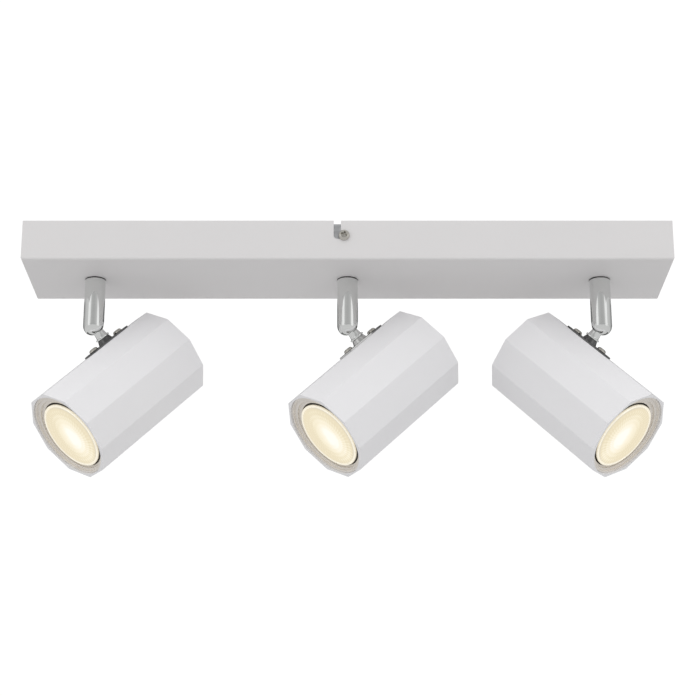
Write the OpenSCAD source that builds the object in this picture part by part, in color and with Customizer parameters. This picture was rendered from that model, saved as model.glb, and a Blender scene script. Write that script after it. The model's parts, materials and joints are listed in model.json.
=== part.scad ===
// Ceiling spotlight bar with three lamp heads that swivel, tilt and turn.
// Millimetres. The origin is the middle of the ceiling face, +Z is up into the ceiling,
// +X runs along the bar and -Y is the front, with one of the two cover screws.

/* [Bar cover] */
// Length of the bar
bar_l = 450; // [430:5:640]
// Width of the bar
bar_w = 78; // [64:1:100]
// Height of the bar below the ceiling
bar_h = 29; // [27:0.5:40]
// Thickness of the folded steel sheet
sheet = 1.2; // [0.8:0.1:1.6]
// Inside radius of the folds round the underside
fold_r = 0.4; // [0.2:0.1:2]
// Distance between neighbouring lamp stems
head_pitch = 178; // [160:1:200]

/* [Ceiling bracket] */
// Length of the strip that lies on the ceiling
strip_l = 170; // [160:5:200]
// Width of that strip
strip_w = 36; // [34:1:50]
// Thickness of the bracket plate
plate_t = 1.5; // [1:0.1:2]
// Distance between the two ceiling screw slots
slot_spacing = 130; // [126:1:140]
// Length of a ceiling screw slot, end to end
slot_l = 18; // [10:1:20]
// Width of a ceiling screw slot
slot_w = 5; // [4:0.1:6]
// Diameter of the hole for the mains cable
cable_hole_d = 18; // [12:1:20]
// Width of the cross arm and of the tabs folded down from it
arm_w = 22; // [20:1:28]
// Depth of a tab below the ceiling
tab_h = 18; // [16:0.5:20]

/* [Cover screws] */
// Depth of the cover screws below the ceiling
screw_drop = 11.2; // [9:0.1:12]
// Distance of the cover screws from the middle of the bar
screw_shift = 2.4; // [0:0.1:4]
// Sideways travel that hooks the cover onto its screws
hook_travel = 4.7; // [3:0.1:6]
// Width of the hooked notch in the cover
notch_w = 4.9; // [4.4:0.1:5.6]
// Shank diameter of the bracket screws
bracket_screw_d = 4; // [3:0.1:4.2]
// Head diameter of the bracket screws
bracket_screw_head_d = 7.8; // [6:0.1:9]
// Head height of the bracket screws
bracket_screw_head_h = 2.6; // [2:0.1:3]

/* [Stem] */
// Diameter of the stem tube
stem_d = 14.5; // [14:0.1:18]
// Distance from the bar's underside to the ball's centre
ball_drop = 34.5; // [34.5:0.5:60]
// Wall of the stem tube
stem_wall = 1; // [0.8:0.1:1.2]
// Running gap between the ball and its socket
ball_gap = 0.05; // [0.02:0.01:0.1]
// Width of the opening that the neck moves in
mouth_d = 8.9; // [8.7:0.1:9.2]
// Diameter of the nipple's thread through the bar
nipple_d = 10; // [8:0.5:10.5]
// Bore for the wires through the nipple
nipple_bore_d = 6; // [5:0.5:7]
// Thickness of a nylon swivel washer
washer_t = 0.8; // [0.5:0.1:1.5]
// Play between a face that turns and the face beside it
play = 0.1; // [0.05:0.01:0.3]

/* [Neck and mounting plate] */
// Diameter of the neck where it leaves the ball
neck_d = 7.2; // [6.6:0.1:7.6]
// Bore for the wires through the neck
neck_bore_d = 4.6; // [4:0.1:5]
// Diameter of the collar on the neck
collar_d = 10.5; // [9.5:0.1:12]
// Thickness of the collar
collar_t = 1.2; // [0.8:0.1:2]
// Distance from the ball's centre to the far face of the collar
collar_z = 10.8; // [10.4:0.1:14]
// Height of the boss between the collar and the plate
boss_h = 3.2; // [2.5:0.1:6]
// Length of the mounting plate, along the lamp head
mount_plate_l = 41; // [36:0.5:50]
// Width of the mounting plate
mount_plate_w = 14; // [12:0.5:18]
// Thickness of the mounting plate
mount_plate_t = 1.2; // [1:0.1:2]
// Distance between the two plate screws
plate_screw_spacing = 24.2; // [22:0.1:28]
// Shank diameter of the plate screws
plate_screw_d = 3.5; // [3:0.1:4]
// Head diameter of the plate screws
plate_screw_head_d = 6.7; // [5.5:0.1:7]
// Head height of the plate screws
plate_screw_head_h = 2.1; // [1.6:0.1:2.6]

/* [Lamp head] */
// Distance across two opposite flats of the ten-sided shell
across_flats = 65.5; // [64:0.5:80]
// Length of the shell
shell_l = 104; // [96:1:130]
// Length of the shell behind the neck
shell_back = 34.5; // [30:0.5:34.5]
// Wall in the middle of a flat
shell_wall = 1.25; // [1:0.05:2]
// Depth of the lamp's face behind the rim of the shell
lamp_recess = 1.5; // [1.5:0.5:8]
// Distance of the lamp's axis from the shell's, away from the neck
lamp_shift = 1.5; // [0:0.1:1.5]
// Depth of the rear cap behind the rear rim of the shell
cap_recess = 2; // [1:0.5:6]
// Thickness of the pressed sheet of the rear cap and the trim ring
trim_t = 1; // [0.6:0.1:1.2]
// Diameter of the lamp holder
holder_d = 28; // [26:0.5:34]
// Length of the lamp holder
holder_l = 18; // [15:0.5:20]

/* [Pose at rest] */
// Tilt of each neck from straight down, in degrees
rest_tilt = [44.5, 43.5, 44.5]; // [0:0.5:88]
// Direction that each neck leans in, round its stem, in degrees
lean_azimuth = [30.5, 23.5, 149.5]; // [0:0.5:180]

/* [Hidden] */
$fn = 64;
// Segments of the shell's bore, which runs close behind the flats
fine = 180;
HEADS = [1, 2, 3];
HEAD_NODES = [
    "stem", "stem_nipple", "stem_nut", "pressure_cup", "joint_spring", "swivel_ball",
    "mounting_plate", "head_screws", "holder_bracket", "head_shell", "rear_cap",
    "lamp_holder", "trim_ring", "head_wires", "lamp_reflector", "lamp_lens", "lamp_pins"
];

// How far a cutting tool runs past the face that it opens
past = 1;
// How far two joined shapes of one piece reach into each other
overlap = 0.5;
// Clearance all round a screw in a plain hole
hole_gap = 0.15;
// Clearance all round a piece pushed into its seat
seat_gap = 0.05;
// Gap between two sheets that lie on each other
sheet_gap = 0.05;
// Length of screw that shows past its thread
screw_end = 1;

// Bar
floor_z = sheet - bar_h;
inside_w = bar_w - 2 * sheet;
nipple_hole_d = nipple_d + 2 * hole_gap;
ball_z = -bar_h - ball_drop;
screw_x = -screw_shift;
// Inside radius of the bracket's folds
bend_r = 0.8;

// Stem, measured up from the ball's centre
socket_r = stem_d / 2 - stem_wall;
ball_d = 2 * (socket_r - ball_gap);
neck_foot_d = neck_d + 1.2;
stem_top = ball_drop - washer_t - play;
plug_l = 7;
inner_washer_z = ball_drop + sheet;
nut_z = inner_washer_z + washer_t + play;
nut_h = 4;
nut_across_flats = 14;
nipple_top = nut_z + nut_h + 3;
washer_d = 16;
cup_bottom = neck_foot_d / 2 + play;
cup_top = 9.5;
cup_bore_d = 5;
spring_d = 10.6;
spring_wire_d = 1;
spring_turns = 6;

// Neck and plate, measured down from the ball's centre along the neck
boss_z = collar_z + play;
plate_z = boss_z + boss_h;
facet_z = plate_z + mount_plate_t;
boss_top_d = collar_d - 1.5;
boss_foot_d = collar_d + 1;
stud_d = neck_bore_d + 2.4;
stud_gap = 0.05;
neck_top = ball_d / 3;
stud_hole_d = stud_d + 1;
rivet_d = stud_d + 2.6;
rivet_t = 1;
ball_flare_d = 8.4;
ball_flare_l = 3.5;

// Lamp head, measured along its own axis from the point under the neck
shell_sides = 10;
shell_front = shell_l - shell_back;
axis_z = facet_z + across_flats / 2;
lamp_axis_z = axis_z + lamp_shift;
bore_r = across_flats / 2 - shell_wall;
seat_r = bore_r - seat_gap;
cap_z = cap_recess - shell_back;
cap_rim_l = 8;
vent_l = 12;
vent_w = 2.4;
vent_r = 17;
vents = 12;
ring_lip = 1.5;
ring_recess = 1.2;
ring_step = 1.5;
ring_depth = 7;

// Lamp with two turn-to-lock pins, a standard size
lamp_d = 50;
lamp_body_l = 46.5;
lamp_base_d = 24;
lamp_base_l = 9;
lamp_rim_l = 3;
lamp_neck_d = 21;
lamp_neck_l = 2;
glass_t = 1.6;
bowl_power = 0.6;
bowl_steps = 10;
lens_t = 2.2;
lens_dome = 0.8;
dome_steps = 6;
ring_gap = 0.9;
face_z = shell_front - lamp_recess;
lamp_base_z = face_z - lamp_body_l;
pin_spacing = 10;
pin_neck_d = 3.2;
pin_neck_l = 3.3;
pin_head_d = 5;
pin_head_l = 3.7;
pin_gap = 0.4;
pin_turn = 30;

// Lamp holder and the strap inside the shell that carries it
holder_front = lamp_base_z - 0.3;
holder_back = holder_front - holder_l;
pin_wall = 2.6;
pin_room = pin_neck_l + pin_head_l + pin_gap;
holder_screw_d = 3;
holder_screw_head_d = 5.4;
holder_screw_head_h = 1.8;
holder_screw_sink = 3;
holder_screw_spacing = holder_d - 9;
strap_w = 14;
strap_t = 1.2;
strap_l = plate_screw_spacing + 10;
strap_z = facet_z + across_flats / 2 - sqrt(seat_r * seat_r - strap_w * strap_w / 4);
rivet_z = strap_z + strap_t + play;
web_l = 12;
holder_plate_w = 18;
lead_window_w = 5;
lead_spacing = 8;
lead_hole_d = 2.4;
lead_hole_l = 6;

// Terminal block under the bracket
block_l = 30;
block_w = 18;
block_h = 13;
block_x = screw_x - arm_w / 2 - 8.5 - block_l / 2;
pole_pitch = 10;
pole_z = -plate_t - 6.5;
pole_bore_d = 3.9;
clamp_d = 5.8;
clamp_l = 15;
clamp_screw_d = 2.6;
clamp_screw_spacing = 8;
clamp_screw_l = 4;
lug_l = 8;
lug_t = 4;
lug_x = block_x + (block_l + lug_l) / 2;
cable_x = 34;
earth_x = 48;
earth_inset = 7;
earth_y = earth_inset - strip_w / 2;
tag_d = 8;
tag_t = 0.8;

// Wires
wire_d = 1.6;
wire_sides = 6;
wire_offset = 1;
wire_steps = 4;
bundle_r = 1.1;
wire_gap = 0.8;

function stem_x(i) = (i - 2) * head_pitch;

// A stem's frame: origin at the ball's centre, +X the way the neck leans
module at_stem(i) {
    translate([stem_x(i), 0, ball_z])
        rotate([0, 0, lean_azimuth[i - 1]])
            children();
}

// A neck's frame: origin at the ball's centre, -Z down the neck
module at_neck(i) {
    at_stem(i)
        rotate([0, -rest_tilt[i - 1], 0])
            children();
}

// A shell's frame: +Z out of the shell's front, +X back to the neck
module at_shell(i) {
    at_neck(i)
        translate([0, 0, -axis_z])
            rotate([0, -90, 0])
                children();
}

// A lamp's frame, the shell's moved away from the neck
module at_lamp(i) {
    at_shell(i)
        translate([-lamp_shift, 0, 0])
            children();
}

module pair_x(distance) {
    for (side = [-1, 1])
        translate([side * distance / 2, 0, 0])
            children();
}

module pair_y(distance) {
    for (side = [-1, 1])
        translate([0, side * distance / 2, 0])
            children();
}

// A box centred on X and Y, between two heights
module slab(l, w, low, high) {
    translate([-l / 2, -w / 2, low])
        cube([l, w, high - low]);
}

// A rod on the Z axis, between two heights
module rod(d, low, high) {
    translate([0, 0, low])
        cylinder(d = d, h = high - low);
}

module pipe(outer_d, inner_d, low, high) {
    difference() {
        rod(outer_d, low, high);
        rod(inner_d, low - past, high + past);
    }
}

// A plate with two round ends, along X, between two heights
module stadium(l, w, low, high) {
    pair_x(l - w) rod(w, low, high);
    slab(l - w, w, low, high);
}

// Pan head screw: its head stands on z = 0 and its shank runs down
module pan_screw(shank_d, shank_l, head_d, head_h) {
    dome_h = 0.55 * head_h;
    dome_r = (head_d * head_d / 4 + dome_h * dome_h) / (2 * dome_h);
    recess_l = 0.58 * head_d;
    recess_w = 0.16 * head_d;
    recess_z = 0.35 * head_h;
    rod(shank_d, -shank_l, 0);
    difference() {
        intersection() {
            rod(head_d, 0, head_h);
            translate([0, 0, head_h - dome_r])
                sphere(r = dome_r);
        }
        for (turn = [0, 90])
            rotate([0, 0, turn])
                slab(recess_l, recess_w, recess_z, head_h + past);
    }
}

function unit(v) = v / norm(v);

function square_to(v, dir) = unit(v - (v * dir) * dir);

function directions(path) = [
    for (i = [0:len(path) - 1])
        unit(path[min(i + 1, len(path) - 1)] - path[max(i - 1, 0)])
];

// Sideways directions along a path, each turned as little as can be from the last
function sideways(dirs, v, i = 0) =
    i == len(dirs) ? [] : concat([square_to(v, dirs[i])], sideways(dirs, square_to(v, dirs[i]), i + 1));

// Round wire along a path, as one closed surface
module wire(path, d, sides) {
    dirs = directions(path);
    sides_u = sideways(dirs, abs(dirs[0].z) < 0.9 ? [0, 0, 1] : [1, 0, 0]);
    points = [
        for (i = [0:len(path) - 1]) for (s = [0:sides - 1])
            path[i] + d / 2 * (cos(360 * s / sides) * sides_u[i]
                + sin(360 * s / sides) * cross(dirs[i], sides_u[i]))
    ];
    last = (len(path) - 1) * sides;
    faces = concat(
        [[for (s = [0:sides - 1]) s]],
        [[for (s = [sides - 1:-1:0]) last + s]],
        [for (i = [0:len(path) - 2]) for (s = [0:sides - 1]) let (n = (s + 1) % sides)
            [i * sides + n, i * sides + s, (i + 1) * sides + s, (i + 1) * sides + n]]
    );
    polyhedron(points, faces, convexity = 8);
}

// Smooth curve through the points of a route
function curve(a, b, c, d, u) = 0.5 * (2 * b + (c - a) * u + (2 * a - 5 * b + 4 * c - d) * u * u
    + (3 * b - a - 3 * c + d) * u * u * u);

function smooth(route, steps) = let (n = len(route) - 1) concat(
    [for (i = [0:n - 1]) for (k = [0:steps - 1])
        curve(route[max(i - 1, 0)], route[i], route[i + 1], route[min(i + 2, n)], k / steps)],
    [route[n]]
);

// ---- Bar ----

// Bar of sheet along X with its two lower edges rounded
module channel_block(l, w, low, high, r) {
    slab(l, w, low + r, high);
    slab(l, w - 2 * r, low, high);
    pair_y(w - 2 * r)
        translate([-l / 2, 0, low + r])
            rotate([0, 90, 0])
                cylinder(r = r, h = l);
}

// Block with all four lower edges rounded
module tray_block(l, w, low, high, r) {
    intersection() {
        channel_block(l, w, low, high, r);
        rotate([0, 0, 90])
            channel_block(w, l, low, high, r);
    }
}

// Notch from the ceiling side down to the cover screws, with its hook sideways
module hooked_notch() {
    reach = bar_w + 2 * past;
    translate([screw_x - hook_travel, 0, 0])
        slab(notch_w, reach, -screw_drop, past);
    translate([screw_x - hook_travel / 2, 0, 0])
        slab(hook_travel, reach, -screw_drop - notch_w / 2, notch_w / 2 - screw_drop);
    for (x = [screw_x - hook_travel, screw_x])
        translate([x, reach / 2, -screw_drop])
            rotate([90, 0, 0])
                cylinder(d = notch_w, h = reach);
}

module bar_cover() {
    color([0.93, 0.93, 0.92])
        difference() {
            tray_block(bar_l, bar_w, -bar_h, 0, fold_r + sheet);
            tray_block(bar_l - 2 * sheet, inside_w, floor_z, past, fold_r);
            hooked_notch();
            for (i = HEADS)
                translate([stem_x(i), 0, 0])
                    rod(nipple_hole_d, -bar_h - past, floor_z + past);
        }
}

// Arm across the bar, under the strip, with both ends folded down into tabs
module cross_arm() {
    arm_z = plate_t + sheet_gap;
    tab_l = tab_h - arm_z;
    translate([screw_x, 0, -arm_z])
        mirror([0, 0, 1])
            difference() {
                channel_block(arm_w, inside_w, 0, tab_l, bend_r + plate_t);
                channel_block(arm_w + 2 * past, inside_w - 2 * plate_t, plate_t, tab_l + past, bend_r);
            }
}

// Strip on the ceiling and the arm spot-welded under it
module ceiling_bracket() {
    color([0.66, 0.67, 0.68]) {
        difference() {
            slab(strip_l, strip_w, -plate_t, 0);
            pair_x(slot_spacing)
                stadium(slot_l, slot_w, -plate_t - past, past);
            translate([cable_x, 0, 0])
                rod(cable_hole_d, -plate_t - past, past);
            for (spot = [[earth_x, earth_y, 0], [lug_x, 0, 0]])
                translate(spot)
                    rod(bracket_screw_d, -plate_t - past, past);
        }
        difference() {
            cross_arm();
            translate([screw_x, inside_w / 2 + past, -screw_drop])
                rotate([90, 0, 0])
                    cylinder(d = bracket_screw_d, h = inside_w + 2 * past);
        }
    }
}

module bracket_screw(grip) {
    pan_screw(bracket_screw_d, grip, bracket_screw_head_d, bracket_screw_head_h);
}

// Two cover screws, the earth screw and the terminal block's screw, all alike
module bracket_screws() {
    color([0.78, 0.77, 0.72]) {
        for (side = [-1, 1])
            translate([screw_x, side * bar_w / 2, -screw_drop])
                rotate([-side * 90, 0, 0])
                    bracket_screw(sheet + plate_t + screw_end);
        translate([earth_x, earth_y, -plate_t - tag_t])
            rotate([180, 0, 0])
                bracket_screw(plate_t + tag_t);
        translate([lug_x, 0, -plate_t - lug_t])
            rotate([180, 0, 0])
                bracket_screw(plate_t + lug_t);
    }
}

// Nylon washers on both sides of the sheet at each stem
module swivel_washers() {
    color([0.12, 0.12, 0.12])
        for (i = HEADS)
            translate([stem_x(i), 0, ball_z]) {
                pipe(stem_d, nipple_hole_d, ball_drop - washer_t, ball_drop);
                pipe(washer_d, nipple_hole_d, inner_washer_z, inner_washer_z + washer_t);
            }
}

// Places children at each pole of the terminal block
module at_poles() {
    for (pole = [-1, 0, 1])
        translate([block_x + pole * pole_pitch, 0, pole_z])
            children();
}

module terminal_block() {
    color([0.92, 0.92, 0.9])
        difference() {
            union() {
                translate([block_x, 0, 0])
                    slab(block_l, block_w, -plate_t - block_h, -plate_t);
                translate([lug_x, 0, 0])
                    slab(lug_l, block_w / 2, -plate_t - lug_t, -plate_t);
            }
            at_poles() {
                rotate([90, 0, 0])
                    rod(clamp_d + 2 * seat_gap, -block_w, block_w);
                pair_y(clamp_screw_spacing)
                    rod(clamp_screw_d + 2 * hole_gap, -block_h, 0);
            }
            translate([lug_x, 0, 0])
                rod(bracket_screw_d + 2 * hole_gap, -plate_t - lug_t - past, past - plate_t);
        }
}

// Brass clamp of each pole with its two clamping screws
module terminal_clamps() {
    color([0.8, 0.66, 0.35])
        at_poles() {
            difference() {
                rotate([90, 0, 0])
                    pipe(clamp_d, pole_bore_d, -clamp_l / 2, clamp_l / 2);
                pair_y(clamp_screw_spacing)
                    rod(clamp_screw_d + 2 * seat_gap, -clamp_d, 0);
            }
            pair_y(clamp_screw_spacing)
                rod(clamp_screw_d, -clamp_screw_l - pole_bore_d / 2, -pole_bore_d / 2);
        }
}

// Route of a lead from a pole of the terminal block down into a stem.
// It leaves the block high, drops into its own lane on the cover's floor and climbs over the nut.
function lead_route(i, pole, lane_y, lane_z, early) = let (
    pole_x = block_x + pole * pole_pitch,
    way = sign(stem_x(i) - pole_x),
    start_x = pole_x + bundle_r * cos(120 * i + 90),
    start_z = pole_z + bundle_r * sin(120 * i + 90),
    turn_x = stem_x(i) - early * way * 3,
    end_x = stem_x(i) - early * way * wire_offset,
    drop_z = pole_z - 5,
    over_z = ball_z + nipple_top + 5
) [
    [start_x, clamp_l / 2 - 2, start_z],
    [start_x, clamp_l / 2 + 0.5, start_z],
    [start_x, block_w / 2 + 1, start_z],
    [start_x, lane_y - 4.5, drop_z],
    [start_x + way * 2, lane_y - 0.6, lane_z + 4],
    [start_x + way * 9, lane_y, lane_z],
    [turn_x - way * 9, lane_y, lane_z],
    [turn_x - way * 2, lane_y - 1.5, lane_z + 1],
    [turn_x, lane_y - 6, over_z - 5],
    [turn_x, 6, over_z],
    [end_x, 1.5, over_z],
    [end_x, 0, over_z - 4],
    [end_x, 0, ball_z + stem_top],
    [end_x, 0, ball_z + ball_d / 2 + wire_gap]
];

// Leads of one pole to the three stems
module leads(pole, lane_y, lane_z, early) {
    far_lane = 8;
    for (i = HEADS)
        wire(smooth(lead_route(i, pole, i == 3 ? lane_y + far_lane : lane_y, lane_z, early),
            wire_steps), wire_d, wire_sides);
}

module live_wires() {
    color([0.45, 0.25, 0.12])
        leads(-1, 16, floor_z + 3.6, 1);
}

module neutral_wires() {
    color([0.15, 0.3, 0.7])
        leads(1, 20, floor_z + 1.1, -1);
}

// Earth lead from the block to a ring tag under the earth screw
module earth_wires() {
    tag_z = -plate_t - tag_t / 2;
    run_z = -2 * plate_t - 2;
    route = [
        [block_x, clamp_l / 2 - 2, pole_z],
        [block_x, block_w / 2 + 2, pole_z],
        [block_x + 2, 14, run_z - 0.5],
        [block_x + 9, 16, run_z],
        [cable_x, 16, run_z],
        [earth_x - 3, 12, run_z],
        [earth_x, 5, run_z],
        [earth_x, earth_y + tag_d, tag_z - 0.7],
        [earth_x, earth_y + tag_d / 2 + 1, tag_z - 0.7]
    ];
    color([0.55, 0.65, 0.2]) {
        wire(smooth(route, wire_steps), wire_d, wire_sides);
        translate([earth_x, earth_y, 0])
            pipe(tag_d, bracket_screw_d + 2 * hole_gap, -plate_t - tag_t, -plate_t);
    }
}

// ---- Stem ----

// Round hole below the ball, joined to a slot up the side that the neck leans to
module neck_mouth() {
    reach = stem_d / 2 + past;
    rod(mouth_d, -reach, 0);
    rotate([0, 90, 0])
        rod(mouth_d, 0, reach);
    translate([0, -mouth_d / 2, -reach])
        cube([reach, mouth_d, reach]);
}

module stem(i) {
    color([0.8, 0.81, 0.82])
        at_stem(i)
            difference() {
                union() {
                    rod(stem_d, 0, stem_top);
                    sphere(d = stem_d);
                }
                rod(2 * socket_r, 0, stem_top + past);
                sphere(r = socket_r);
                neck_mouth();
            }
}

// Threaded nipple: a plug in the top of the stem and a thread up through the bar
module stem_nipple(i) {
    color([0.72, 0.72, 0.7])
        at_stem(i)
            difference() {
                union() {
                    rod(2 * (socket_r - seat_gap), stem_top - plug_l, stem_top);
                    rod(nipple_d, stem_top - overlap, nipple_top);
                }
                rod(nipple_bore_d, stem_top - plug_l - past, nipple_top + past);
            }
}

module stem_nut(i) {
    color([0.7, 0.7, 0.68])
        at_stem(i)
            translate([0, 0, nut_z])
                difference() {
                    cylinder(d = nut_across_flats / cos(30), h = nut_h, $fn = 6);
                    rod(nipple_d, -past, nut_h + past);
                }
}

// Cup that the spring presses onto the ball
module pressure_cup(i) {
    color([0.85, 0.85, 0.82])
        at_stem(i)
            difference() {
                pipe(2 * (socket_r - seat_gap), cup_bore_d, cup_bottom, cup_top);
                sphere(r = socket_r);
            }
}

module joint_spring(i) {
    steps = 16;
    low = cup_top + spring_wire_d / 2;
    high = stem_top - plug_l - spring_wire_d / 2;
    coil_r = (spring_d - spring_wire_d) / 2;
    path = [
        for (k = [0:spring_turns * steps]) let (turn = 360 * k / steps)
            [coil_r * cos(turn), coil_r * sin(turn), low + (high - low) * k / (spring_turns * steps)]
    ];
    color([0.6, 0.6, 0.6])
        at_stem(i)
            wire(path, spring_wire_d, 6);
}

// ---- Neck ----

// Ball, neck, collar and hollow stud in one piece, its end riveted over inside the head
module swivel_ball(i) {
    neck_low = collar_t - collar_z;
    end_z = -rivet_z - rivet_t;
    color([0.8, 0.81, 0.82])
        at_neck(i)
            difference() {
                union() {
                    sphere(d = ball_d);
                    translate([0, 0, neck_low])
                        cylinder(d1 = neck_foot_d, d2 = neck_d, h = -neck_low - neck_top);
                    rod(collar_d, -collar_z, neck_low);
                    rod(stud_d, end_z, overlap - collar_z);
                    rod(rivet_d, end_z, -rivet_z);
                }
                rod(neck_bore_d, end_z - past, ball_d);
                translate([0, 0, ball_d / 2 - ball_flare_l])
                    cylinder(d1 = neck_bore_d, d2 = ball_flare_d, h = ball_flare_l);
            }
}

// ---- Head ----

module mounting_plate(i) {
    color([0.8, 0.81, 0.82])
        at_neck(i)
            difference() {
                union() {
                    stadium(mount_plate_l, mount_plate_w, -facet_z, -plate_z);
                    translate([0, 0, -plate_z])
                        cylinder(d1 = boss_foot_d, d2 = boss_top_d, h = boss_h);
                }
                rod(stud_d + 2 * stud_gap, -facet_z - past, -boss_z + past);
                pair_x(plate_screw_spacing)
                    rod(plate_screw_d + 2 * hole_gap, -facet_z - past, past - plate_z);
            }
}

// Two screws through the mounting plate and two through the lamp holder
module head_screws(i) {
    color([0.78, 0.78, 0.76]) {
        at_neck(i)
            pair_x(plate_screw_spacing)
                translate([0, 0, -plate_z])
                    pan_screw(plate_screw_d, strap_z + strap_t + screw_end - plate_z,
                        plate_screw_head_d, plate_screw_head_h);
        at_lamp(i)
            pair_x(holder_screw_spacing)
                translate([0, 0, holder_front - holder_screw_sink])
                    pan_screw(holder_screw_d, holder_l - holder_screw_sink + strap_t + screw_end,
                        holder_screw_head_d, holder_screw_head_h);
    }
}

// Strap inside the shell, a web beside the stud and a plate across the axis
module holder_bracket(i) {
    strap_x = lamp_axis_z - strap_z;
    plate_l = holder_screw_spacing + 8;
    color([0.66, 0.67, 0.68])
        difference() {
            at_lamp(i) {
                translate([strap_x - strap_t / 2, 0, 0])
                    slab(strap_t, strap_w, -strap_l / 2, strap_l / 2);
                translate([0, strap_w / 2 - strap_t, holder_back - web_l])
                    cube([strap_x, strap_t, web_l]);
                slab(plate_l, holder_plate_w, holder_back - strap_t, holder_back);
            }
            at_neck(i) {
                rod(stud_hole_d, -strap_z - strap_t - past, past - strap_z);
                pair_x(plate_screw_spacing)
                    rod(plate_screw_d, -strap_z - strap_t - past, past - strap_z);
            }
            at_lamp(i) {
                pair_x(holder_screw_spacing)
                    rod(holder_screw_d, holder_back - strap_t - past, holder_back + past);
                slab(lead_window_w, lead_spacing + 3, holder_back - strap_t - past, holder_back + past);
            }
        }
}

module head_shell(i) {
    color([0.93, 0.93, 0.92])
        difference() {
            at_shell(i)
                translate([0, 0, -shell_back])
                    rotate([0, 0, 180 / shell_sides])
                        cylinder(d = across_flats / cos(180 / shell_sides), h = shell_l, $fn = shell_sides);
            at_shell(i)
                rod(2 * bore_r, -shell_back - past, shell_front + past, $fn = fine);
            at_neck(i) {
                rod(stud_hole_d, -axis_z, past - facet_z);
                pair_x(plate_screw_spacing)
                    rod(plate_screw_d + 2 * hole_gap, -axis_z, past - facet_z);
            }
        }
}

// Pressed cap with a ring of vents, pushed in from the rear
module rear_cap(i) {
    color([0.93, 0.93, 0.92])
        at_shell(i)
            difference() {
                rod(2 * seat_r, cap_z, cap_z + cap_rim_l);
                rod(2 * (seat_r - trim_t), cap_z + trim_t, cap_z + cap_rim_l + past);
                for (k = [1:vents])
                    rotate([0, 0, 360 * k / vents])
                        translate([vent_r, 0, 0])
                            stadium(vent_l, vent_w, cap_z - past, cap_z + trim_t + past);
            }
}

// Slot for a pin that turns round the lamp's axis, between two heights
module turning_slot(width, low, high) {
    r = pin_spacing / 2;
    for (turn = [0, pin_turn])
        rotate([0, 0, turn])
            translate([r, 0, 0])
                rod(width, low, high);
    band_w = width - 2 * seat_gap;
    translate([0, 0, low])
        rotate_extrude(angle = pin_turn)
            translate([r - band_w / 2, 0])
                square([band_w, high - low]);
}

// Room for a pin's head below the holder's front wall, and the keyhole through that wall
module keyhole(low, wall_low, high) {
    head_w = pin_head_d + 2 * pin_gap;
    turning_slot(head_w, low, wall_low);
    turning_slot(pin_neck_d + 2 * pin_gap, wall_low - past, high);
    rotate([0, 0, pin_turn])
        translate([pin_spacing / 2, 0, 0])
            rod(head_w + seat_gap, wall_low - past, high);
}

module lamp_holder(i) {
    color([0.95, 0.94, 0.9])
        at_lamp(i)
            difference() {
                rod(holder_d, holder_back, holder_front);
                for (turn = [90, 270])
                    rotate([0, 0, turn])
                        keyhole(holder_front - pin_room, holder_front - pin_wall, holder_front + past);
                pair_x(holder_screw_spacing) {
                    rod(holder_screw_d + 2 * hole_gap, holder_back - past, holder_front + past);
                    rod(holder_screw_head_d + 2 * hole_gap, holder_front - holder_screw_sink,
                        holder_front + past);
                }
                pair_y(lead_spacing)
                    rod(lead_hole_d, holder_back - past, holder_back + lead_hole_l);
            }
}

// Stepped ring that closes the gap between the lamp's rim and the shell, each step nearer to the lamp's axis
module trim_ring(i) {
    lip_z = shell_front - ring_recess;
    lip_r = seat_r - ring_lip;
    inner_r = lamp_d / 2 + ring_gap;
    step_r = (lip_r + inner_r) / 2;
    step_shift = lamp_shift / 2;
    step_z = lip_z - ring_step;
    inner_z = step_z - ring_step;
    end_z = lip_z - ring_depth;
    color([0.78, 0.76, 0.7])
        at_shell(i)
            difference() {
                union() {
                    pipe(2 * seat_r, 2 * (seat_r - trim_t), end_z, step_z);
                    rod(2 * seat_r, step_z - trim_t, lip_z);
                    translate([-step_shift, 0, 0])
                        rod(2 * (step_r + trim_t), inner_z - trim_t, step_z);
                }
                rod(2 * lip_r, step_z, lip_z + past);
                translate([-step_shift, 0, 0])
                    rod(2 * step_r, inner_z, lip_z + past);
                translate([-lamp_shift, 0, 0])
                    rod(2 * inner_r, inner_z - trim_t - past, lip_z + past);
            }
}

// Two leads from the ball, down the stud and round to the back of the lamp holder
module head_wires(i) {
    color([0.9, 0.9, 0.86])
        at_neck(i)
            for (side = [-1, 1]) {
                entry = side * lead_spacing / 2;
                start = side * wire_offset;
                route = [
                    [0, start, 1.5],
                    [0, start, -boss_z],
                    [0, start, -rivet_z - 2],
                    [2, 0.6 * start + 0.4 * entry, -rivet_z - 7],
                    [7, entry, -lamp_axis_z + 12],
                    [8, entry, -lamp_axis_z + 5],
                    [6, entry, -lamp_axis_z + 1],
                    [2, entry, -lamp_axis_z],
                    [-holder_back, entry, -lamp_axis_z],
                    [1 - holder_back - lead_hole_l, entry, -lamp_axis_z]
                ];
                wire(smooth(route, wire_steps), wire_d, wire_sides);
            }
}

// ---- Lamp ----

function bowl_r(u) = lamp_neck_d / 2 + (lamp_d / 2 - 1 - lamp_neck_d / 2) * pow(u, bowl_power);

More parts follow.
